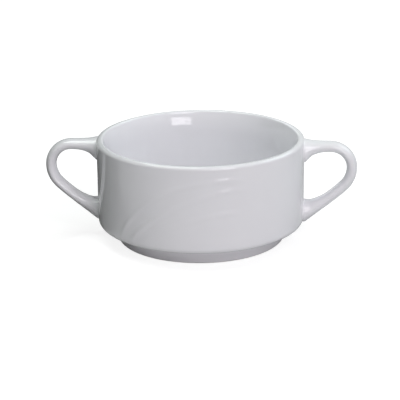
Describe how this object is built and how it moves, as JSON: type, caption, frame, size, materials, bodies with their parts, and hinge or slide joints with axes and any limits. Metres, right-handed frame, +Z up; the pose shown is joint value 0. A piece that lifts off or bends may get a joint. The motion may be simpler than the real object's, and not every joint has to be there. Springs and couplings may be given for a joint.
{
  "type": "bouillon cup",
  "caption": "Low straight-sided porcelain soup cup with two loop handles, standing on a stepped foot ring so that cups stack.",
  "frame": {"origin": "on the cup's axis, in the plane that the foot ring stands on", "axes": "+Z up out of the mouth, +X through the right-hand handle, -Y towards the front"},
  "size_m": [0.1538, 0.1028, 0.0509],
  "materials": {
    "glaze": "clear glossy glaze over white porcelain"
  },
  "bodies": {
    "root": {"bouillon_cup": "glaze"}
  },
  "joints": []
}
